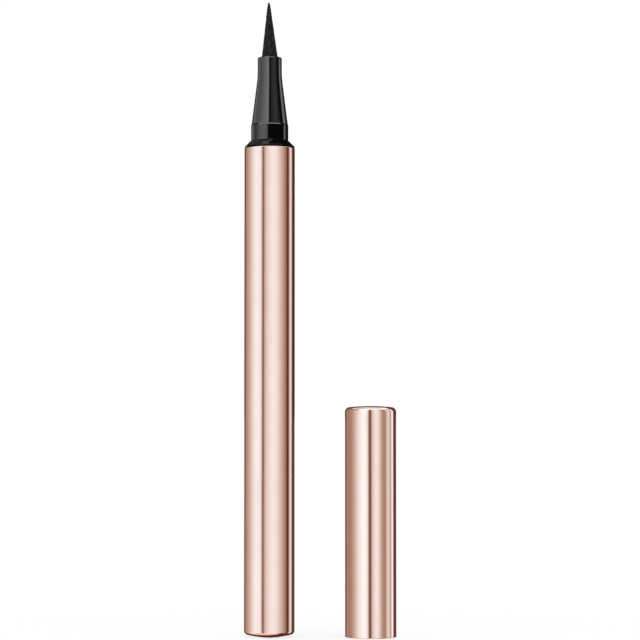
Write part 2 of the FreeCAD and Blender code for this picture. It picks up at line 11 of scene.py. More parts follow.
import bmesh
import bpy
from bpy.props import FloatProperty, FloatVectorProperty, IntProperty, PointerProperty
from mathutils import Matrix, Vector


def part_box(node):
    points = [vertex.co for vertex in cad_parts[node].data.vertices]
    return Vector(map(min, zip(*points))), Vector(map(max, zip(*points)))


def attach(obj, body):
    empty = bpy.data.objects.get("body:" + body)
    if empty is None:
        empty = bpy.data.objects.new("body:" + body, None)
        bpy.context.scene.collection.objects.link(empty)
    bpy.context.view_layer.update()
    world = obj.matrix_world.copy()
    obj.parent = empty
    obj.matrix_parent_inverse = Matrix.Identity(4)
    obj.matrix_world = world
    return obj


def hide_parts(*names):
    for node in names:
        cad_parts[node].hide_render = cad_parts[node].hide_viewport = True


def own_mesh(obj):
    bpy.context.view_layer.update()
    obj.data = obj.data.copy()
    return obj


bl_info = {
    "name": "Eyeliner Pen",
    "version": (1, 0, 0),
    "blender": (4, 5, 0),
    "location": "3D View > Sidebar > Eyeliner Pen",
    "description": "Turned shells, felt nib, finishes and studio for a liquid eyeliner pen",
    "category": "Object",
}

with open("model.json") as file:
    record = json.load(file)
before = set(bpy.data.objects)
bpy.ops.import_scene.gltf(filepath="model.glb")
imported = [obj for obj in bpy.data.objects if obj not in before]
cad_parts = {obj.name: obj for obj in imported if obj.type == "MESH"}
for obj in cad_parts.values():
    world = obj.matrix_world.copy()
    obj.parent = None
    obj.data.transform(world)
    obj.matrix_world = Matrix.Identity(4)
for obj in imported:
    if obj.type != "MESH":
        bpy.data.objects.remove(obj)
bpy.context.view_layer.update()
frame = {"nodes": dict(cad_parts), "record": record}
MOUNTS = {mount["name"]: mount for mount in frame["record"]["mounts"]}
MM = 0.001
# A point this close beside a round holds the straight sides straight in smooth shading
HOLD = 0.02 * MM
# Points of a turned piece that lie closer than this are one
WELD = 1e-7
# Edges that turn more sharply than this, in degrees, stay sharp
SHARP = 40
# Most of a noise's values lie in this range
NOISE_RANGE = {"From Min": 0.3, "From Max": 0.7}
WHITE = (1, 1, 1, 1)
UP = Vector((0, 0, 1))


def linear(code):
    """Linear red, green, blue and alpha of an sRGB hex colour."""
    channels = [int(code[at:at + 2], 16) / 255 for at in (1, 3, 5)]
    curved = [c / 12.92 if c <= 0.04045 else ((c + 0.055) / 1.055) ** 2.4 for c in channels]
    return (*curved, 1.0)


def length(name, description, millimetres):
    """A size that a user may change, shown in the scene's unit of length."""
    return FloatProperty(name=name, description=description, default=millimetres * MM, unit="LENGTH",
                         min=0.0, precision=5)


def colour(name, description, code):
    """A colour that a user may change."""
    return FloatVectorProperty(name=name, description=description, default=linear(code), size=4,
                               subtype="COLOR", min=0.0, max=1.0)


def span(name, description, millimetres):
    """The heights of a lamp's lower and upper edges, which a user may change."""
    return FloatVectorProperty(name=name, description=description, size=2, unit="LENGTH",
                               default=[height * MM for height in millimetres])


class PenShape(bpy.types.PropertyGroup):
    """Rounds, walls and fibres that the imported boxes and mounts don't give."""

    segments: IntProperty(name="Segments", description="Sides of a turned piece", default=256, min=32)
    shell_wall: length("Shell wall", "Wall of the drawn barrel and cap", 0.4)
    base_flat: length("Base flat", "Radius of the flat that the barrel stands on", 2.5)
    base_dome: length("Base dome", "Radius of the dome under the barrel", 15.0)
    base_round: length("Base round", "Round between the barrel's dome and its side", 0.8)
    rim_round: length("Rim round", "Outer round on the barrel's rim and the cap's mouth", 0.12)
    rim_inner_round: length("Inner rim round", "Inner round on the barrel's rim and the cap's mouth", 0.04)
    lip_inset: length("Lip inset", "Step from the barrel's side in to the black lip", 0.05)
    lip_draft: length("Lip draft", "How far the lip's foot draws in under its edge", 0.03)
    lip_height: length("Lip height", "Height of the black lip on the rim", 0.35)
    edge_round: length("Edge round", "Round on the edges of the black mouldings", 0.06)
    collar_chamfer: length("Collar chamfer", "Height of the chamfer on the collar's top edge", 0.2)
    collar_lead: length("Collar lead", "How far the collar's chamfer leads in", 0.07)
    collar_round: length("Collar round", "Round on the edges of the collar's chamfer", 0.02)
    press_fit: length("Press fit", "Play between pieces that are pressed together", 0.02)
    tank_spigot_radius: length("Tank spigot radius", "Radius of the front section inside the tank", 3.66)
    tank_spigot_length: length("Tank spigot length", "Depth of the front section in the tank", 4.0)
    spigot_radius: length("Spigot radius", "Radius of the nib holder inside the collar", 2.7)
    holder_radius: length("Holder radius", "Radius at the foot of the nib holder's cone", 3.6)
    nose_radius: length("Nose radius", "Radius of the nib holder's straight nose", 2.4)
    nose_length: length("Nose length", "Length of the nib holder's straight nose", 3.9)
    nose_round: length("Nose round", "Round on the nib holder's top edge", 0.35)
    waist_round: length("Waist round", "Radius of the curve from the cone into the nose", 22.0)
    cap_top_round: length("Cap top round", "Round on the cap's top edge", 1.0)
    cap_crown: length("Cap crown", "Height of the cap's crown", 0.2)
    nib_point: length("Nib point", "Radius of the nib's point", 0.21)
    nib_lean: length("Nib lean", "How far the nib's point leans to the left", 0.2)
    fibre_count: IntProperty(name="Fibres", description="Loose fibre ends on the nib", default=2600, min=0)
    fibre_length: length("Fibre length", "Length of a fibre end", 0.4)
    fibre_width: length("Fibre width", "Width of a fibre end at its root", 0.045)
    fibre_seed: IntProperty(name="Fibre seed", description="Draw of the fibres' places", default=7)


class PenFinish(bpy.types.PropertyGroup):
    """Colours of the materials."""

    rose_gold: colour("Rose gold", "Anodised aluminium in white light", "#EEBEAB")
    rose_gold_deep: colour("Deep rose gold", "Aluminium where the dye took more", "#E9B5A0")
    black_lacquer: colour("Black moulding", "Black ABS under its gloss", "#020203")
    felt: colour("Felt", "Felt soaked with black ink", "#050506")
    # Colour of the painted glints on the felt, where fibre ends would catch the light
    felt_glint: colour("Felt fibre", "Fibre ends that catch the light", "#3A3A3C")
    inked_fibre: colour("Inked fibre", "Bonded fibre soaked with ink", "#19191C")
    white_plastic: colour("White plastic", "White ABS", "#E6E6E2")
    natural_plastic: colour("Natural plastic", "Undyed polypropylene and polyethylene", "#E0E1DE")
    black_plastic: colour("Black plastic", "Satin black polypropylene", "#161617")
    rubber: colour("Rubber", "Black nitrile rubber", "#1B1B1C")
    steel: colour("Steel", "Bright stainless steel", "#CDCBC8")
    floor: colour("Floor", "White studio sweep", "#FFFFFF")


class PenStudio(bpy.types.PropertyGroup):
    """Camera and lamps."""

    camera_place: FloatVectorProperty(name="Camera", description="Place of the camera", size=3,
                                      subtype="TRANSLATION", default=(0.010, -0.490, 0.0404))
    camera_aim: FloatVectorProperty(name="Aim", description="Point that the camera looks at", size=3,
                                    subtype="TRANSLATION", default=(0.010, 0.0, 0.0625))
    camera_lens: FloatProperty(name="Lens", description="Focal length in millimetres on a 36 mm sensor",
                               default=139.2, unit="CAMERA")
    lamp_distance: length("Lamp distance", "From an item's axis to its lamps", 300)
    tall_span: span("Tall lamps", "Edges of the tall lamps", (-170, 600))
    back_span: span("Back lamps", "Edges of the lamps behind the metal", (-100, 45))
    backdrop_span: span("Backdrop", "Edges of the dim backdrop above those", (45, 400))
    collar_span: span("Collar lamps", "Edges of the collar's lamps", (115, 250))
    floor_size: length("Floor size", "Side of the floor", 6000)
    floor_glow: FloatProperty(name="Floor glow", description="Share of its light that comes through it",
                              default=0.75, min=0.0, max=1.0)


def set_inputs(node, inputs):
    """Set a node's inputs, and link those that are given another node's output."""
    for key, value in inputs.items():
        if isinstance(value, bpy.types.NodeSocket):
            node.id_data.links.new(value, node.inputs[key])
        else:
            node.inputs[key].default_value = value


def add_node(tree, kind, inputs=None, **settings):
    """Add a node to a tree, set its options, and set or link its inputs."""
    added = tree.nodes.new(kind)
    for option, value in settings.items():
        setattr(added, option, value)
    set_inputs(added, inputs or {})
    return added


def per_metre(millimetres):
    """Scale of a pattern whose features lie this far apart."""
    return 1 / (millimetres * MM)


def new_material(name):
    """A material with its node tree, its shader and Object coordinates."""
    material = bpy.data.materials.new(name)
    material.use_nodes = True
    tree = material.node_tree
    place = add_node(tree, "ShaderNodeTexCoord").outputs["Object"]
    return material, tree, tree.nodes["Principled BSDF"], place


def anodised_aluminium(finish):
    """Drawn aluminium, polished and anodised: it mirrors the studio in clean upright bands.

    The dye takes a little more in some places than in others, and the draw leaves hairlines along
    the tube, drawn here about four times as coarse as they are so that they show.
    """
    material, tree, shader, place = new_material("Anodised aluminium, rose gold")
    clouds = add_node(tree, "ShaderNodeTexNoise", {"Vector": place, "Scale": per_metre(3)})
    dyed = add_node(tree, "ShaderNodeMix", {"Factor": clouds.outputs["Fac"], "A": finish.rose_gold,
                                            "B": finish.rose_gold_deep}, data_type="RGBA")
    drawn = (per_metre(0.12), per_metre(0.12), per_metre(25))
    stretched = add_node(tree, "ShaderNodeMapping", {"Vector": place, "Scale": drawn})
    hairlines = add_node(tree, "ShaderNodeTexNoise", {"Vector": stretched.outputs["Vector"], "Scale": 1.0})
    # Ends that face up or down were pressed, not drawn, and have no hairlines
    normal = add_node(tree, "ShaderNodeNewGeometry").outputs["Normal"]
    facing = add_node(tree, "ShaderNodeSeparateXYZ", {"Vector": normal})
    upward = add_node(tree, "ShaderNodeMath", {0: facing.outputs["Z"]}, operation="ABSOLUTE")
    side = add_node(tree, "ShaderNodeMapRange", {"Value": upward.outputs[0], "From Min": 0.2, "From Max": 0.6,
                                                 "To Min": 1.0, "To Max": 0.0})
    marks = add_node(tree, "ShaderNodeMix", {"Factor": side.outputs["Result"], "A": 0.5,
                                             "B": hairlines.outputs["Fac"]})
    polish = add_node(tree, "ShaderNodeMapRange", {"Value": marks.outputs["Result"], **NOISE_RANGE,
                                                   "To Min": 0.09, "To Max": 0.14})
    grooves = add_node(tree, "ShaderNodeBump", {"Height": marks.outputs["Result"], "Strength": 0.04,
                                                "Distance": 0.01 * MM})
    set_inputs(shader, {"Base Color": dyed.outputs["Result"], "Metallic": 1.0,
                        "Roughness": polish.outputs["Result"], "Normal": grooves.outputs["Normal"]})
    return material


def gloss_abs(finish):
    """ABS moulded in a polished tool and lacquered: deep black, sharp reflections, a trace of waviness."""
    material, tree, shader, place = new_material("Lacquered ABS, black")
    waves = add_node(tree, "ShaderNodeTexNoise", {"Vector": place, "Scale": per_metre(0.9)})
    polish = add_node(tree, "ShaderNodeMapRange", {"Value": waves.outputs["Fac"], **NOISE_RANGE,
                                                   "To Min": 0.08, "To Max": 0.16})
    flow = add_node(tree, "ShaderNodeBump", {"Height": waves.outputs["Fac"], "Strength": 0.03,
                                             "Distance": 0.01 * MM})
    set_inputs(shader, {"Base Color": finish.black_lacquer, "IOR": 1.54,
                        "Roughness": polish.outputs["Result"], "Coat Weight": 1.0, "Coat Roughness": 0.04,
                        "Coat Normal": flow.outputs["Normal"]})
    return material


def ground_felt(finish):
    """Felt ground to a point and soaked with ink: dull black with pale specks, painted glints of fibre ends.
    """
    material, tree, shader, place = new_material("Ground felt, inked")
    grain = (per_metre(0.22), per_metre(0.22), per_metre(0.3))
    stretched = add_node(tree, "ShaderNodeMapping", {"Vector": place, "Scale": grain})
    specks = add_node(tree, "ShaderNodeTexNoise", {"Vector": stretched.outputs["Vector"], "Scale": 1.0,
                                                   "Detail": 4.0, "Roughness": 0.7})
    # Pale specks painted on where fibre ends would catch the light: a painted glint, not a colour of the felt
    painted_glints = add_node(tree, "ShaderNodeMapRange", {"Value": specks.outputs["Fac"], "From Min": 0.5,
                                                "From Max": 0.68})
    felt_with_glints = add_node(tree, "ShaderNodeMix", {"Factor": painted_glints.outputs["Result"], "A": finish.felt,
                                             "B": finish.felt_glint}, data_type="RGBA")
    nap = add_node(tree, "ShaderNodeBump", {"Height": specks.outputs["Fac"], "Strength": 0.6,
                                            "Distance": 0.06 * MM})
    set_inputs(shader, {"Base Color": felt_with_glints.outputs["Result"], "Roughness": 0.9, "Specular IOR Level": 0.15,
                        "Sheen Weight": 0.06, "Sheen Roughness": 0.4, "Normal": nap.outputs["Normal"]})
    return material


def bonded_fibre(finish):
    """Parallel fibres bonded in a rod and soaked with ink: black, dull and finely lined along the rod."""
    material, tree, shader, place = new_material("Bonded polyester fibre, inked")
    fibres = (per_metre(0.06), per_metre(0.06), per_metre(4))
    stretched = add_node(tree, "ShaderNodeMapping", {"Vector": place, "Scale": fibres})
    lines = add_node(tree, "ShaderNodeTexNoise", {"Vector": stretched.outputs["Vector"], "Scale": 1.0})
    dull = add_node(tree, "ShaderNodeMapRange", {"Value": lines.outputs["Fac"], **NOISE_RANGE,
                                                 "To Min": 0.6, "To Max": 0.9})
    ribs = add_node(tree, "ShaderNodeBump", {"Height": lines.outputs["Fac"], "Strength": 0.5,
                                             "Distance": 0.03 * MM})
    set_inputs(shader, {"Base Color": finish.inked_fibre, "IOR": 1.5, "Roughness": dull.outputs["Result"],
                        "Normal": ribs.outputs["Normal"]})
    return material


def moulded_plastic(name, base, roughness, texture_mm, depth_mm, body):
    """Moulded plastic or rubber: one colour through, with its tool's fine texture and flow."""
    material, tree, shader, place = new_material(name)
    texture = add_node(tree, "ShaderNodeTexNoise", {"Vector": place, "Scale": per_metre(texture_mm)})
    sheen = add_node(tree, "ShaderNodeMapRange", {"Value": texture.outputs["Fac"], **NOISE_RANGE,
                                                  "To Min": roughness - 0.06, "To Max": roughness + 0.06})
    grit = add_node(tree, "ShaderNodeBump", {"Height": texture.outputs["Fac"], "Strength": 0.2,
                                             "Distance": depth_mm * MM})
    set_inputs(shader, {"Base Color": base, "Roughness": sheen.outputs["Result"],
                        "Normal": grit.outputs["Normal"], **body})
    return material


def white_abs(finish):
    """ABS moulded bright: clean white, slightly glossy."""
    return moulded_plastic("Moulded ABS, white", finish.white_plastic, 0.35, 0.5, 0.005, {"IOR": 1.54})


def natural_polypropylene(finish):
    """Undyed polypropylene tube: milky, lets light into its wall."""
    return moulded_plastic("Extruded polypropylene, natural", finish.natural_plastic, 0.3, 0.8, 0.005,
                           {"IOR": 1.49, "Subsurface Weight": 0.3, "Subsurface Scale": 0.5 * MM})


def natural_polyethylene(finish):
    """Undyed polyethylene: waxy white, softer and duller than the tube."""
    return moulded_plastic("Moulded polyethylene, natural", finish.natural_plastic, 0.45, 0.4, 0.008,
                           {"IOR": 1.51, "Subsurface Weight": 0.4, "Subsurface Scale": 0.5 * MM})


def satin_polypropylene(finish):
    """Black polypropylene from an eroded tool: satin black with a fine grit."""
    return moulded_plastic("Moulded polypropylene, black", finish.black_plastic, 0.42, 0.15, 0.01,
                           {"IOR": 1.49})


def nitrile_rubber(finish):
    """Nitrile rubber cut from sheet: matt black with a dusty bloom."""
    return moulded_plastic("Nitrile rubber", finish.rubber, 0.75, 0.25, 0.015, {"IOR": 1.52})


def stainless_steel(finish):
    """Bright drawn or ground stainless steel: a clean grey mirror with fine marks."""
    material, tree, shader, place = new_material("Stainless steel, bright")
    marks = add_node(tree, "ShaderNodeTexNoise", {"Vector": place, "Scale": per_metre(0.2), "Detail": 3.0})
    polish = add_node(tree, "ShaderNodeMapRange", {"Value": marks.outputs["Fac"], **NOISE_RANGE,
                                                   "To Min": 0.12, "To Max": 0.22})
    set_inputs(shader, {"Base Color": finish.steel, "Metallic": 1.0, "Roughness": polish.outputs["Result"]})
    return material


MATERIALS = {}


def material_of(make):
    """The material that a function makes, made once."""
    if make not in MATERIALS:
        MATERIALS[make] = make(bpy.context.scene.pen_finish)
    return MATERIALS[make]


def rounded(corners, steps=10, closed=False):
    """Points of a section through (radius, height, round) corners, each round an arc."""
    points = []
    count = len(corners)
    for index, (radius, height, blunt) in enumerate(corners):
        corner = Vector((radius, height))
        if blunt == 0 or not closed and index in (0, count - 1):
            points.append(corner)
            continue
        before = (Vector(corners[index - 1][:2]) - corner).normalized()
        after = (Vector(corners[(index + 1) % count][:2]) - corner).normalized()
        half = before.angle(after) / 2
        centre = corner + (before + after).normalized() * blunt / math.sin(half)
        start = corner + before * blunt / math.tan(half)
        end = corner + after * blunt / math.tan(half)
        turn = math.pi - 2 * half
        points.append(start + before * HOLD)
        for step in range(steps + 1):
            first = math.sin(turn * (1 - step / steps)) / math.sin(turn)
            second = math.sin(turn * step / steps) / math.sin(turn)
            points.append(centre + (start - centre) * first + (end - centre) * second)
        points.append(end + after * HOLD)
    return points


def arc(radius, height, size, first, last, steps=14):
    """Points of an arc of a size about a centre, between angles counted from straight down outwards."""
    centre = Vector((radius, height))
    angles = [first + (last - first) * step / steps for step in range(steps + 1)]
    return [centre + Vector((math.sin(angle), -math.cos(angle))) * size for angle in angles]


def input_identifiers(tree):
    """The identifier of each named input of a tree, which its modifier's settings go by."""
    return {item.name: item.identifier for item in tree.interface.items_tree if item.in_out == "INPUT"}


def named_inputs(tree, sockets):
    """Give a tree its geometry in and out and its named inputs, and return its two end nodes."""
    tree.interface.new_socket("Geometry", in_out="INPUT", socket_type="NodeSocketGeometry")
    for name, kind in sockets.items():
        tree.interface.new_socket(name, in_out="INPUT", socket_type=kind)
    tree.interface.new_socket("Geometry", in_out="OUTPUT", socket_type="NodeSocketGeometry")
    return add_node(tree, "NodeGroupInput").outputs, add_node(tree, "NodeGroupOutput").inputs


def turning_tree():
    """Geometry nodes that sweep a section, drawn in the XZ plane, once round the Z axis."""
    tree = bpy.data.node_groups.new("Turned Piece", "GeometryNodeTree")
    given, result = named_inputs(tree, {"Segments": "NodeSocketInt", "Rail Radius": "NodeSocketFloat",
                                        "Weld": "NodeSocketFloat", "Finish": "NodeSocketMaterial"})
    # The section is laid on the rail by how far it lies outside it and, downwards, under it
    position = add_node(tree, "GeometryNodeInputPosition").outputs["Position"]
    drawn = add_node(tree, "ShaderNodeSeparateXYZ", {"Vector": position})
    outward = add_node(tree, "ShaderNodeMath", {0: drawn.outputs["X"], 1: given["Rail Radius"]},
                       operation="SUBTRACT")
    downward = add_node(tree, "ShaderNodeMath", {0: 0.0, 1: drawn.outputs["Z"]}, operation="SUBTRACT")
    across = add_node(tree, "ShaderNodeCombineXYZ", {"X": outward.outputs[0], "Y": downward.outputs[0]})
    laid = add_node(tree, "GeometryNodeSetPosition", {"Geometry": given["Geometry"],
                                                      "Position": across.outputs[0]})
    section = add_node(tree, "GeometryNodeMeshToCurve", {"Mesh": laid.outputs["Geometry"]})
    rail = add_node(tree, "GeometryNodeCurvePrimitiveCircle", {"Resolution": given["Segments"],
                                                               "Radius": given["Rail Radius"]}, mode="RADIUS")
    upright = add_node(tree, "GeometryNodeSetCurveNormal", {"Curve": rail.outputs["Curve"]}, mode="Z_UP")
    swept = add_node(tree, "GeometryNodeCurveToMesh", {"Curve": upright.outputs["Curve"],
                                                       "Profile Curve": section.outputs["Curve"]})
    welded = add_node(tree, "GeometryNodeMergeByDistance", {"Geometry": swept.outputs["Mesh"],
                                                            "Distance": given["Weld"]})
    real = add_node(tree, "GeometryNodeRealizeInstances", {"Geometry": welded.outputs["Geometry"]})
    dressed = add_node(tree, "GeometryNodeSetMaterial", {"Geometry": real.outputs["Geometry"],
                                                         "Material": given["Finish"]})
    tree.links.new(dressed.outputs["Geometry"], result["Geometry"])
    return tree


def fibre_tree():
    """Geometry nodes that strew fibre ends over a nib, combed towards its point."""
    tree = bpy.data.node_groups.new("Felt Fibres", "GeometryNodeTree")
    given, result = named_inputs(tree, {
        "Density": "NodeSocketFloat", "Length": "NodeSocketFloat", "Width": "NodeSocketFloat",
        "Foot": "NodeSocketFloat", "Head": "NodeSocketFloat", "Seed": "NodeSocketInt",
        "Finish": "NodeSocketMaterial"})
    position = add_node(tree, "GeometryNodeInputPosition").outputs["Position"]
    height = add_node(tree, "ShaderNodeSeparateXYZ", {"Vector": position}).outputs["Z"]
    above = add_node(tree, "FunctionNodeCompare", {"A": height, "B": given["Foot"]},
                     data_type="FLOAT", operation="GREATER_THAN")
    under = add_node(tree, "FunctionNodeCompare", {"A": height, "B": given["Head"]},
                     data_type="FLOAT", operation="LESS_THAN")
    shown = add_node(tree, "FunctionNodeBooleanMath", {0: above.outputs["Result"],
                                                       1: under.outputs["Result"]}, operation="AND")
    strewn = add_node(tree, "GeometryNodeDistributePointsOnFaces", {
        "Mesh": given["Geometry"], "Selection": shown.outputs["Boolean"], "Density": given["Density"],
        "Seed": given["Seed"]}, distribute_method="RANDOM")
    fibre = add_node(tree, "GeometryNodeMeshCone", {
        "Vertices": 4, "Radius Top": 0.0, "Radius Bottom": given["Width"], "Depth": given["Length"]},
        fill_type="NGON")
    # A fibre lies along the nib, lifted a little along the surface's normal and turned at random
    lift = add_node(tree, "ShaderNodeVectorMath", {0: strewn.outputs["Normal"], "Scale": 0.05},
                    operation="SCALE")
    stray = add_node(tree, "FunctionNodeRandomValue", {"Min": (-0.16, -0.16, 0.9), "Max": (0.16, 0.16, 1.0),
                                                       "Seed": given["Seed"]}, data_type="FLOAT_VECTOR")
    heading = add_node(tree, "ShaderNodeVectorMath", {0: lift.outputs[0], 1: stray.outputs[0]},
                       operation="ADD")
    turned = add_node(tree, "FunctionNodeAlignRotationToVector", {"Vector": heading.outputs[0]}, axis="Z")
    sizes = add_node(tree, "FunctionNodeRandomValue", {2: 0.4, 3: 1.0, "Seed": given["Seed"]},
                     data_type="FLOAT")
    planted = add_node(tree, "GeometryNodeInstanceOnPoints", {
        "Points": strewn.outputs["Points"], "Instance": fibre.outputs["Mesh"],
        "Rotation": turned.outputs["Rotation"], "Scale": sizes.outputs[1]})
    joined = add_node(tree, "GeometryNodeJoinGeometry", {"Geometry": planted.outputs["Instances"]})
    set_inputs(joined, {"Geometry": given["Geometry"]})
    real = add_node(tree, "GeometryNodeRealizeInstances", {"Geometry": joined.outputs["Geometry"]})
    dressed = add_node(tree, "GeometryNodeSetMaterial", {"Geometry": real.outputs["Geometry"],
                                                         "Material": given["Finish"]})
    tree.links.new(dressed.outputs["Geometry"], result["Geometry"])
    return tree


TREES = {}


def shaped_by(obj, make_tree, **settings):
    """Run a tree on an object and give the object the plain mesh that comes out."""
    if make_tree not in TREES:
        TREES[make_tree] = make_tree()
    tree = TREES[make_tree]
    identifiers = input_identifiers(tree)
    modifier = obj.modifiers.new(tree.name, "NODES")
    modifier.node_group = tree
    for name, value in settings.items():
        modifier[identifiers[name.replace("_", " ").title()]] = value
    drawn = obj.data
    evaluated = obj.evaluated_get(bpy.context.evaluated_depsgraph_get())
    obj.data = bpy.data.meshes.new_from_object(evaluated)
    obj.modifiers.remove(modifier)
    obj.data.name = obj.name
    bpy.data.meshes.remove(drawn)


def turned_piece(name, points, material, axis=0.0, closed=False):
    """An object turned from a section's points, about an upright axis at a place along X."""
    count = len(points)
    edges = [(index, index + 1) for index in range(count - 1)]
    if closed:
        edges.append((count - 1, 0))
    section = bpy.data.meshes.new(name)
    section.from_pydata([(point.x, 0, point.y) for point in points], edges, [])
    piece = bpy.data.objects.new(name, section)
    bpy.context.scene.collection.objects.link(piece)
    rail = max(point.x for point in points)
    shaped_by(piece, turning_tree, segments=bpy.context.scene.pen_shape.segments, rail_radius=rail,
              weld=WELD, finish=material)
    built = bmesh.new()
    built.from_mesh(piece.data)
    bmesh.ops.recalc_face_normals(built, faces=built.faces)
    built.to_mesh(piece.data)
    built.free()
    piece.data.shade_smooth()
    piece.data.set_sharp_from_angle(angle=math.radians(SHARP))
    piece.data.transform(Matrix.Translation((axis, 0, 0)))
    return piece


def stands_for(piece, body, node):
    """Let a piece ride on a body in place of a CAD node, which is hidden."""
    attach(piece, body)
    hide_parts(node)


def keep_from_mirrors(piece):
    """Keep a piece out of its neighbours' reflections, which then show the studio alone."""
    piece.visible_glossy = False


def dress(node, make):
    """Give a CAD node a finish."""
    obj = frame["nodes"][node]
    obj.data.materials.clear()
    obj.data.materials.append(material_of(make))
    keep_from_mirrors(obj)


class PEN_OT_barrel(bpy.types.Operator):
    """Turn the drawn barrel with its domed base and rounded rim"""

    bl_idname = "pen.barrel"
    bl_label = "Barrel"

    def execute(self, context):
        shape = context.scene.pen_shape
        radius = MOUNTS["barrel"]["dims"]["r_mm"] * MM
        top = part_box("barrel_shell")[1].z
        wall = shape.shell_wall
        # The dome's arc and the corner's arc meet on the line through their centres
        corner = radius - shape.base_round
        between = shape.base_dome - shape.base_round
        meeting = math.asin(corner / between)
        dome = math.sqrt(shape.base_dome ** 2 - shape.base_flat ** 2)
        side = dome - math.sqrt(between ** 2 - corner ** 2)
        flat = math.asin(shape.base_flat / shape.base_dome)
        inner_flat = math.acos((dome - wall) / (shape.base_dome - wall))
        outside = arc(0, dome, shape.base_dome, flat, meeting)
        outside += arc(corner, side, shape.base_round, meeting, math.pi / 2)[1:]
        inside = arc(0, dome, shape.base_dome - wall, inner_flat, meeting)
        inside += arc(corner, side, shape.base_round - wall, meeting, math.pi / 2)[1:]
        rim = rounded([
            (radius, side + HOLD, 0),
            (radius, top, shape.rim_round),
            (radius - wall, top, shape.rim_inner_round),
            (radius - wall, side + HOLD, 0),
        ])
        points = [Vector((0, 0)), *outside, *rim, *reversed(inside), Vector((0, wall))]
        barrel = turned_piece("barrel", points, material_of(anodised_aluminium))
        keep_from_mirrors(barrel)
        stands_for(barrel, "pen", "barrel_shell")
        return {"FINISHED"}


class PEN_OT_front_section(bpy.types.Operator):
    """Turn the black front section: skirt, lip, shoulder and collar"""

    bl_idname = "pen.front_section"
    bl_label = "Front section"

    def execute(self, context):
        shape = context.scene.pen_shape
        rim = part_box("barrel_shell")[1].z
        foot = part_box("front_section")[0].z
        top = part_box("front_section")[1].z
        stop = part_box("collector")[1].z
        collar = MOUNTS["collar"]
        collar_radius = collar["dims"]["r_mm"] * MM
        collar_foot = collar["pos_m"][2] - collar["dims"]["length_mm"] * MM / 2
        lip = MOUNTS["barrel"]["dims"]["r_mm"] * MM - shape.lip_inset
        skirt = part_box("tank_gasket")[1].x
        skirt_foot = foot + shape.tank_spigot_length
        collector_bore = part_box("collector")[1].x + shape.press_fit
        holder_bore = shape.spigot_radius + shape.press_fit
        points = rounded([
            (collector_bore, foot, 0),
            (shape.tank_spigot_radius, foot, 0),
            (shape.tank_spigot_radius, skirt_foot, 0),
            (skirt, skirt_foot, 0),
            (skirt, rim, 0),
            (lip - shape.lip_draft, rim, 0),
            (lip, rim + shape.lip_height, shape.edge_round),
            (collar_radius, collar_foot, 0),
            (collar_radius, top - shape.collar_chamfer, shape.collar_round),
            (collar_radius - shape.collar_lead, top, shape.collar_round),
            (holder_bore, top, 0),
            (holder_bore, stop, 0),
            (collector_bore, stop, 0),
        ], closed=True)
        front = turned_piece("front_section_moulding", points, material_of(gloss_abs), closed=True)
        stands_for(front, "pen", "front_section")
        return {"FINISHED"}


class PEN_OT_nib_holder(bpy.types.Operator):
    """Turn the black bell that holds the nib"""

    bl_idname = "pen.nib_holder"
    bl_label = "Nib holder"

    def execute(self, context):
        shape = context.scene.pen_shape
        low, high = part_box("nib_holder")
        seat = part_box("front_section")[1].z
        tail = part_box("felt_tip")[0].z
        nib_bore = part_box("felt_tip")[1].x + shape.press_fit
        core_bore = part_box("feed_core")[1].x + shape.press_fit
        points = rounded([
            (core_bore, low.z, 0),
            (shape.spigot_radius, low.z, 0),
            (shape.spigot_radius, seat, 0),
            (shape.holder_radius, seat, shape.edge_round),
            (shape.nose_radius, high.z - shape.nose_length, shape.waist_round),
            (shape.nose_radius, high.z, shape.nose_round),
            (nib_bore, high.z, shape.edge_round),
            (nib_bore, tail, 0),
            (core_bore, tail, 0),
        ], closed=True)
        holder = turned_piece("nib_holder_bell", points, material_of(gloss_abs), closed=True)
        keep_from_mirrors(holder)
        stands_for(holder, "pen", "nib_holder")
        return {"FINISHED"}


class PEN_OT_felt_nib(bpy.types.Operator):
    """Turn the felt nib, lean its point and strew it with fibre ends"""

    bl_idname = "pen.felt_nib"
    bl_label = "Felt nib"

    def execute(self, context):
        shape = context.scene.pen_shape
        low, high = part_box("felt_tip")
        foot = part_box("nib_holder")[1].z
        centre = high.z - shape.nib_point
        taper = math.atan((high.x - shape.nib_point) / (centre - foot))
        point = arc(0, centre, shape.nib_point, math.pi / 2 + taper, math.pi, steps=8)
        shoulder = Vector((high.x, foot))
        rows = 60
        cone = [shoulder.lerp(point[0], row / rows) for row in range(rows)]
        points = [Vector((0, low.z)), Vector((high.x, low.z)), *cone, *point]
        nib = turned_piece("felt_nib", points, material_of(ground_felt))
        for vertex in nib.data.vertices:
            vertex.co.x -= shape.nib_lean * max(0, (vertex.co.z - foot) / (high.z - foot))
        area = math.pi * high.x * math.hypot(high.x, high.z - foot)
        shaped_by(nib, fibre_tree, density=shape.fibre_count / area, length=shape.fibre_length,
                  width=shape.fibre_width / 2, foot=foot, head=high.z - 2 * shape.fibre_length,
                  seed=shape.fibre_seed, finish=material_of(ground_felt))
        stands_for(nib, "pen", "felt_tip")
        return {"FINISHED"}


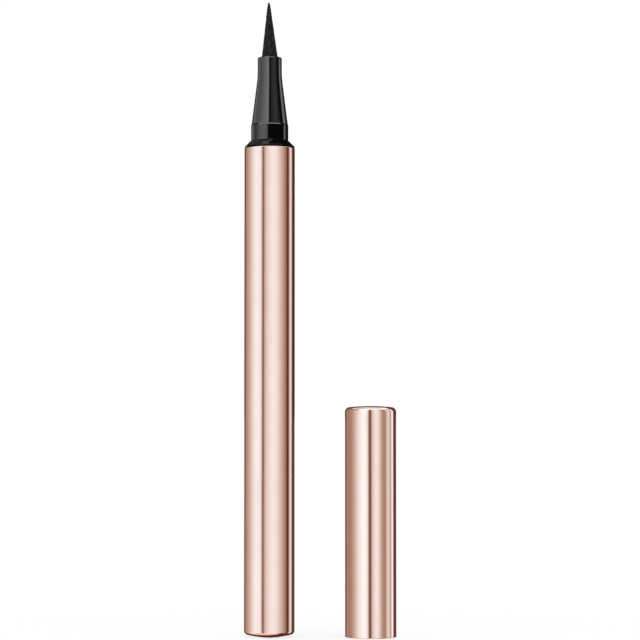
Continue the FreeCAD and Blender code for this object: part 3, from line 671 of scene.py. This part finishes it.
class PEN_OT_cap(bpy.types.Operator):
    """Turn the drawn cap with its rounded edge and crowned top"""

    bl_idname = "pen.cap"
    bl_label = "Cap"

    def execute(self, context):
        shape = context.scene.pen_shape
        axis = MOUNTS["cap_socket"]["pos_m"][0]
        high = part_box("cap_shell")[1]
        radius = high.x - axis
        bore = radius - shape.shell_wall
        # The crown's arc and the corner's arc meet on the line through their centres
        corner = radius - shape.cap_top_round
        edge = high.z - shape.cap_crown - shape.cap_top_round
        between = (corner ** 2 / shape.cap_crown + shape.cap_crown) / 2
        meeting = math.pi - math.asin(corner / between)
        crown = between + shape.cap_top_round
        top = arc(corner, edge, shape.cap_top_round, math.pi / 2, meeting)
        top += arc(0, high.z - crown, crown, meeting, math.pi)[1:]
        roof = high.z - shape.cap_crown - shape.shell_wall
        sides = rounded([
            (0, roof, 0),
            (bore, roof, shape.cap_top_round - shape.shell_wall),
            (bore, 0, shape.rim_inner_round),
            (radius, 0, shape.rim_round),
            (radius, edge - HOLD, 0),
        ], steps=14)
        cap = turned_piece("cap", sides + top, material_of(anodised_aluminium), axis=axis)
        keep_from_mirrors(cap)
        stands_for(cap, "cap", "cap_shell")
        return {"FINISHED"}


class PEN_OT_cap_inside(bpy.types.Operator):
    """Finish the cap's liner, inner cap and spring seat"""

    bl_idname = "pen.cap_inside"
    bl_label = "Inside the cap"

    def execute(self, context):
        dress("cap_liner", satin_polypropylene)
        dress("spring_seat", satin_polypropylene)
        dress("inner_cap", natural_polyethylene)
        return {"FINISHED"}


class PEN_OT_cap_spring(bpy.types.Operator):
    """Give the cap's spring a mesh of its own, in stainless steel"""

    bl_idname = "pen.cap_spring"
    bl_label = "Cap spring"

    def execute(self, context):
        wire = frame["nodes"]["cap_spring"].data.copy()
        wire.materials.clear()
        wire.materials.append(material_of(stainless_steel))
        spring = bpy.data.objects.new("cap_spring_wire", wire)
        context.scene.collection.objects.link(spring)
        keep_from_mirrors(spring)
        stands_for(spring, "cap", "cap_spring")
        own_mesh(spring)
        return {"FINISHED"}


class PEN_OT_ink_system(bpy.types.Operator):
    """Finish the feed core, collector, tank, gasket, plug and mixing ball"""

    bl_idname = "pen.ink_system"
    bl_label = "Ink system"

    def execute(self, context):
        dress("feed_core", bonded_fibre)
        dress("collector", white_abs)
        dress("ink_tank", natural_polypropylene)
        dress("tank_gasket", nitrile_rubber)
        dress("tank_plug", natural_polyethylene)
        dress("mixing_ball", stainless_steel)
        return {"FINISHED"}


def warm_light(level):
    """Colour of a softbox at a level of light: warm where it falls off, cool in its core."""
    return (0.82 * level ** 0.64, level, 1.1 * level ** 1.2, 1.0)


def plain_light(level):
    """Colour of a white softbox at a level of light."""
    return (level, level, level * 1.04, 1.0)


def area_lamp(name, lit, place, aim, width, height, light=WHITE):
    """A lamp as bright as a white surface, for the light and shadow of one collection of pieces."""
    data = bpy.data.lights.new(name, "AREA")
    data.shape = "RECTANGLE"
    data.size = width
    data.size_y = height
    data.energy = math.pi * width * height
    data.color = light[:3]
    lamp = bpy.data.objects.new(name, data)
    bpy.context.scene.collection.objects.link(lamp)
    lamp.location = place
    lamp.rotation_euler = (aim - place).to_track_quat("-Z", "Y").to_euler()
    lamp.visible_camera = False
    lamp.light_linking.receiver_collection = lit
    lamp.light_linking.blocker_collection = lit
    return data


def top_lamp(name, lit, place, width, depth, light):
    """A lamp overhead that faces straight down."""
    area_lamp(name, lit, Vector(place), Vector(place) - UP, width, depth, light)


def softbox(name, lit, axis, light, stops, edges=None):
    """A tall lamp beside an axis at a place along X, seen from it across a range of azimuths.

    Azimuth 0 is towards the camera and 90 towards +X. Each stop is an azimuth in degrees and the
    level of light there, and the lamp runs from the first stop to the last. Its lower and upper
    edges lie at the two heights given, or at those of the tall lamps.
    """
    studio = bpy.context.scene.pen_studio
    first, last = math.radians(stops[0][0]), math.radians(stops[-1][0])
    middle, half = (first + last) / 2, (last - first) / 2
    foot, head = edges or studio.tall_span
    aim = Vector((axis, 0, (foot + head) / 2))
    place = aim + Vector((math.sin(middle), -math.cos(middle), 0)) * studio.lamp_distance
    data = area_lamp(name, lit, place, aim, 2 * studio.lamp_distance * math.tan(half), head - foot)
    data.use_nodes = True
    tree = data.node_tree
    parametric = add_node(tree, "ShaderNodeNewGeometry").outputs["Parametric"]
    across = add_node(tree, "ShaderNodeSeparateXYZ", {"Vector": parametric})
    ramp = add_node(tree, "ShaderNodeValToRGB", {"Fac": across.outputs["X"]})
    fade = ramp.color_ramp
    while len(fade.elements) < len(stops):
        fade.elements.new(0.5)
    for element, (azimuth, level) in zip(fade.elements, stops):
        element.position = 0.5 + 0.5 * math.tan(math.radians(azimuth) - middle) / math.tan(half)
        element.color = light(level)
    set_inputs(tree.nodes["Emission"], {"Color": ramp.outputs["Color"]})


def receivers_of(name, pieces):
    """A collection of the pieces that a lamp lights."""
    group = bpy.data.collections.new(name)
    for piece in pieces:
        group.objects.link(bpy.data.objects[piece])
    return group


class PEN_OT_stage(bpy.types.Operator):
    """Set up the white floor, the studio light and the camera"""

    bl_idname = "pen.stage"
    bl_label = "Stage"

    def execute(self, context):
        scene = context.scene
        scene.view_settings.view_transform = "Standard"
        self.add_floor(scene)
        self.add_world(scene)
        self.add_lamps()
        self.add_camera(scene)
        return {"FINISHED"}

    def add_floor(self, scene):
        """A white floor that shows the contact shadow and stays out of the metal."""
        studio = scene.pen_studio
        half = studio.floor_size / 2
        mesh = bpy.data.meshes.new("floor")
        mesh.from_pydata([(-half, -half, 0), (half, -half, 0), (half, half, 0), (-half, half, 0)], [],
                         [(0, 1, 2, 3)])
        material, tree, shader, _ = new_material("White studio sweep")
        white = scene.pen_finish.floor
        set_inputs(shader, {"Base Color": white, "Roughness": 1.0, "Specular IOR Level": 0.0})
        # Light that comes through the sweep from behind leaves only a faint shadow
        glow = add_node(tree, "ShaderNodeEmission", {"Color": white})
        lit = add_node(tree, "ShaderNodeMixShader", {0: studio.floor_glow, 1: shader.outputs["BSDF"],
                                                     2: glow.outputs["Emission"]})
        # From below it is clear, so that the base and the mouth can be seen
        below = add_node(tree, "ShaderNodeNewGeometry").outputs["Backfacing"]
        clear = add_node(tree, "ShaderNodeBsdfTransparent").outputs["BSDF"]
        seen = add_node(tree, "ShaderNodeMixShader", {0: below, 1: lit.outputs["Shader"], 2: clear})
        set_inputs(tree.nodes["Material Output"], {"Surface": seen.outputs["Shader"]})
        mesh.materials.append(material)
        floor = bpy.data.objects.new("floor", mesh)
        scene.collection.objects.link(floor)
        floor.visible_glossy = False
        floor.visible_shadow = False

    def add_world(self, scene):
        """White all round, and for reflections a dark studio with a white floor."""
        world = bpy.data.worlds.new("Studio")
        scene.world = world
        world.use_nodes = True
        tree = world.node_tree
        ray = add_node(tree, "ShaderNodeTexCoord").outputs["Generated"]
        # The floor in front of the pen is bright, and the floor under it lies in its warm shadow
        warm_shadow = (0.09, 0.032, 0.022, 1)
        front_left = (-0.5, -0.87, 0)
        down = add_node(tree, "ShaderNodeVectorMath", {0: ray, 1: -UP}, operation="DOT_PRODUCT")
        under = add_node(tree, "ShaderNodeMapRange", {"Value": down.outputs["Value"], "From Min": 0.3,
                                                      "From Max": 0.5}, interpolation_type="SMOOTHSTEP")
        dark = add_node(tree, "ShaderNodeMix", {"Factor": under.outputs["Result"], "A": plain_light(0.006),
                                                "B": warm_shadow}, data_type="RGBA")
        front = add_node(tree, "ShaderNodeVectorMath", {0: ray, 1: front_left}, operation="DOT_PRODUCT")
        near = add_node(tree, "ShaderNodeMapRange", {"Value": front.outputs["Value"], "From Min": -0.05,
                                                     "From Max": 0.25}, interpolation_type="SMOOTHSTEP")
        bright = add_node(tree, "ShaderNodeMath", {0: under.outputs["Result"], 1: near.outputs["Result"]},
                          operation="MULTIPLY")
        studio = add_node(tree, "ShaderNodeMix", {"Factor": bright.outputs["Value"],
                                                  "A": dark.outputs["Result"], "B": WHITE}, data_type="RGBA")
        mirrored = add_node(tree, "ShaderNodeLightPath").outputs["Is Glossy Ray"]
        seen = add_node(tree, "ShaderNodeMix", {"Factor": mirrored, "A": WHITE,
                                                "B": studio.outputs["Result"]}, data_type="RGBA")
        set_inputs(tree.nodes["Background"], {"Color": seen.outputs["Result"]})

    def add_lamps(self):
        """Softboxes round the barrel, the cap and the black front, and lamps over them."""
        studio = bpy.context.scene.pen_studio
        cap_axis = MOUNTS["cap_socket"]["pos_m"][0]
        back = [(150, 0.12), (162, 0.2), (170, 0.7), (178, 1.1), (186, 0.9), (194, 0.3), (210, 0.12)]
        backdrop = [(150, 0.05), (210, 0.05)]
        barrel = receivers_of("Lit barrel", ["barrel"])
        softbox("barrel left", barrel, 0, warm_light, [
            (-150, 0.03), (-144, 0.08), (-134, 0.38), (-123, 0.5), (-114, 0.57), (-99, 0.86), (-85, 1.2),
            (-74, 1.5), (-63, 1.72), (-52, 1.65)])
        softbox("barrel front", barrel, 0, warm_light, [
            (-52, 1.65), (-43, 1.6), (-37, 1.35), (-33, 0.6), (-29, 0.06), (-26, 0.15), (-23, 0.6),
            (-18, 0.88), (-10, 1.22), (6, 1.52), (18, 1.62), (32, 1.5), (46, 1.14)])
        softbox("barrel right", barrel, 0, warm_light, [
            (46, 1.14), (62, 0.74), (72, 0.48), (84, 0.22), (90, 0.02), (97, 0.04), (102, 0.6), (108, 1.25),
            (114, 1.4), (120, 1.05), (125, 0.2), (131, 0.03), (146, 0.03)])
        softbox("barrel back", barrel, 0, warm_light, back, studio.back_span)
        softbox("barrel backdrop", barrel, 0, warm_light, backdrop, studio.backdrop_span)
        cap = receivers_of("Lit cap", ["cap"])
        softbox("cap left", cap, cap_axis, warm_light, [
            (-150, 0.05), (-142, 0.05), (-134, 0.5), (-128, 0.4), (-119, 0.35), (-97, 0.45), (-84, 0.65),
            (-72, 0.98), (-56, 1.48), (-46, 1.68)])
        softbox("cap front", cap, cap_axis, warm_light, [
            (-46, 1.68), (-32, 1.88), (-22, 1.75), (-16, 1.5), (-12, 0.98), (-8, 0.2), (-4, 0.02), (-2, 0.04),
            (3, 0.65), (8, 1.12), (18, 1.47), (26, 1.58), (34, 1.38), (43, 0.92), (50, 0.62)])
        softbox("cap right", cap, cap_axis, warm_light, [
            (50, 0.62), (57, 0.45), (66, 0.36), (71, 0.6), (77, 1.0), (84, 1.25), (90, 1.15), (95, 0.9),
            (99, 0.35), (104, 1.0), (109, 1.75), (114, 2.0), (119, 0.9), (124, 0.1), (138, 0.03),
            (150, 0.03)])
        softbox("cap back", cap, cap_axis, warm_light, back, studio.back_span)
        softbox("cap backdrop", cap, cap_axis, warm_light, backdrop, studio.backdrop_span)
        collar = receivers_of("Lit collar", ["front_section_moulding"])
        softbox("collar left", collar, 0, plain_light, [
            (-146, 0.3), (-125, 0.5), (-112, 0.3), (-100, 0.25), (-85, 0.42), (-72, 0.75), (-58, 1.05),
            (-35, 1.15), (-22, 1.05), (-14, 0.75), (-9, 0.1)], studio.collar_span)
        softbox("collar right", collar, 0, plain_light, [
            (95, 0.05), (103, 0.75), (110, 0.7), (116, 0.3), (122, 0.02)], studio.collar_span)
        holder = receivers_of("Lit holder", ["nib_holder_bell", "felt_nib"])
        softbox("holder left", holder, 0, plain_light, [
            (-135, 0.6), (-102, 0.52), (-78, 0.72), (-58, 1.0), (-40, 1.35), (-20, 1.7), (-8, 1.85),
            (-4, 0.3)])
        softbox("holder front", holder, 0, plain_light, [
            (6, 0.08), (29, 0.26), (45, 0.34), (60, 0.18), (75, 0.08)])
        softbox("holder right", holder, 0, plain_light, [
            (96, 0.25), (104, 0.9), (112, 1.1), (119, 0.6), (126, 0.15), (136, 0.1)])
        metal = receivers_of("Lit metal", ["barrel", "cap"])
        top_lamp("metal top", metal, (0.01, 0, 0.55), 0.8, 0.8, warm_light(1.4))
        top_lamp("collar top", collar, (0, -0.115, 0.262), 0.44, 0.17, plain_light(2))
        top_lamp("shoulder top", collar, (-0.0475, 0.15, 0.4), 0.075, 0.3, plain_light(0.36))
        top_lamp("shoulder side", collar, (-0.1675, 0.25, 0.4), 0.165, 0.5, plain_light(0.11))
        nib_foot = Vector((0, 0, 0.11))
        area_lamp("holder top", holder, Vector((0, -0.14, 0.48)), nib_foot, 0.6, 0.2, plain_light(3))

    def add_camera(self, scene):
        """A long lens straight in front, below the pen's middle and turned up to it."""
        studio = scene.pen_studio
        data = bpy.data.cameras.new("camera")
        data.lens = studio.camera_lens
        data.sensor_width = 36.0
        camera = bpy.data.objects.new("camera", data)
        scene.collection.objects.link(camera)
        camera.location = studio.camera_place
        aim = Vector(studio.camera_aim) - Vector(studio.camera_place)
        camera.rotation_euler = aim.to_track_quat("-Z", "Y").to_euler()
        data.clip_start = 10 * MM
        data.clip_end = 2 * studio.floor_size
        scene.camera = camera


OPERATORS = (
    PEN_OT_barrel,
    PEN_OT_front_section,
    PEN_OT_nib_holder,
    PEN_OT_felt_nib,
    PEN_OT_cap,
    PEN_OT_cap_inside,
    PEN_OT_cap_spring,
    PEN_OT_ink_system,
    PEN_OT_stage,
)


class PEN_PT_panel(bpy.types.Panel):
    """Lists the pen's pieces and settings in the sidebar"""

    bl_label = "Eyeliner Pen"
    bl_idname = "PEN_PT_panel"
    bl_space_type = "VIEW_3D"
    bl_region_type = "UI"
    bl_category = "Eyeliner Pen"

    def draw(self, context):
        for operator in OPERATORS:
            self.layout.operator(operator.bl_idname)
        for group in (context.scene.pen_shape, context.scene.pen_finish, context.scene.pen_studio):
            box = self.layout.box()
            for name in group.__annotations__:
                box.prop(group, name)


GROUPS = {"pen_shape": PenShape, "pen_finish": PenFinish, "pen_studio": PenStudio}
CLASSES = (*GROUPS.values(), *OPERATORS, PEN_PT_panel)


def register():
    for item in CLASSES:
        bpy.utils.register_class(item)
    for name, group in GROUPS.items():
        setattr(bpy.types.Scene, name, PointerProperty(type=group))


def unregister():
    for name in GROUPS:
        delattr(bpy.types.Scene, name)
    for item in reversed(CLASSES):
        bpy.utils.unregister_class(item)


def main():
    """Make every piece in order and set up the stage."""
    register()
    bpy.ops.pen.barrel()
    bpy.ops.pen.front_section()
    bpy.ops.pen.nib_holder()
    bpy.ops.pen.felt_nib()
    bpy.ops.pen.cap()
    bpy.ops.pen.cap_inside()
    bpy.ops.pen.cap_spring()
    bpy.ops.pen.ink_system()
    bpy.ops.pen.stage()


if __name__ == "__main__":
    main()
